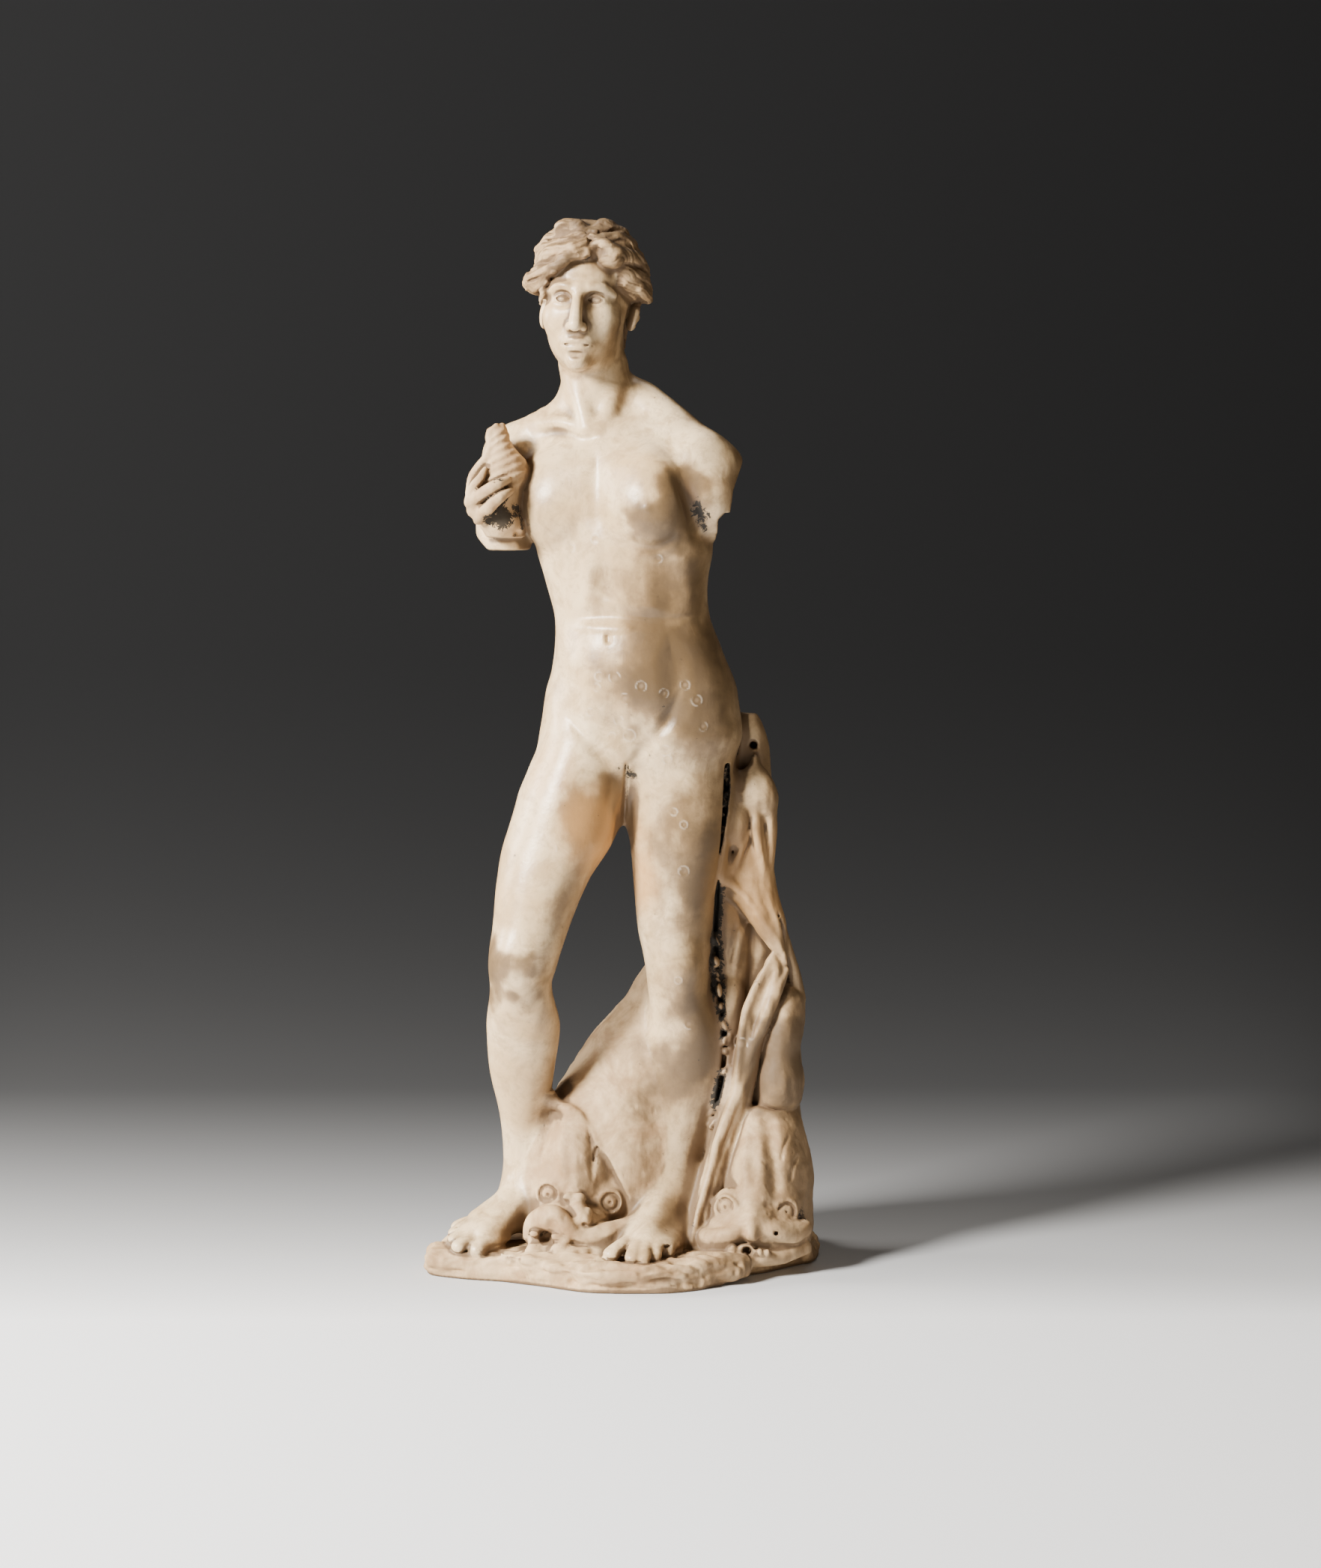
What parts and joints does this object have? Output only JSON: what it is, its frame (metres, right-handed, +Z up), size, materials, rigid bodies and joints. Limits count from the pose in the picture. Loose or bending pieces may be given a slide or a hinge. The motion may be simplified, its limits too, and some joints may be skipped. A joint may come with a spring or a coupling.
{
  "type": "marble amphitrite statue",
  "caption": "Weathered marble statue of a standing sea goddess with broken arms, a shell, dolphins and hanging drapery on a low base, carved as one block.",
  "frame": {"origin": "middle of the part's plan, on the flat underside of the base", "axes": "+Z up; -Y is the way the figure faces, towards a viewer in front of it; +X is that viewer's right, the side of the support with its drapery"},
  "size_m": [0.4459, 0.3081, 1.1725],
  "materials": {
    "marble": "smooth worn marble with rougher stained carving, lichen and mineral veils"
  },
  "bodies": {
    "root": {"amphitrite_statue": "marble"}
  },
  "joints": []
}
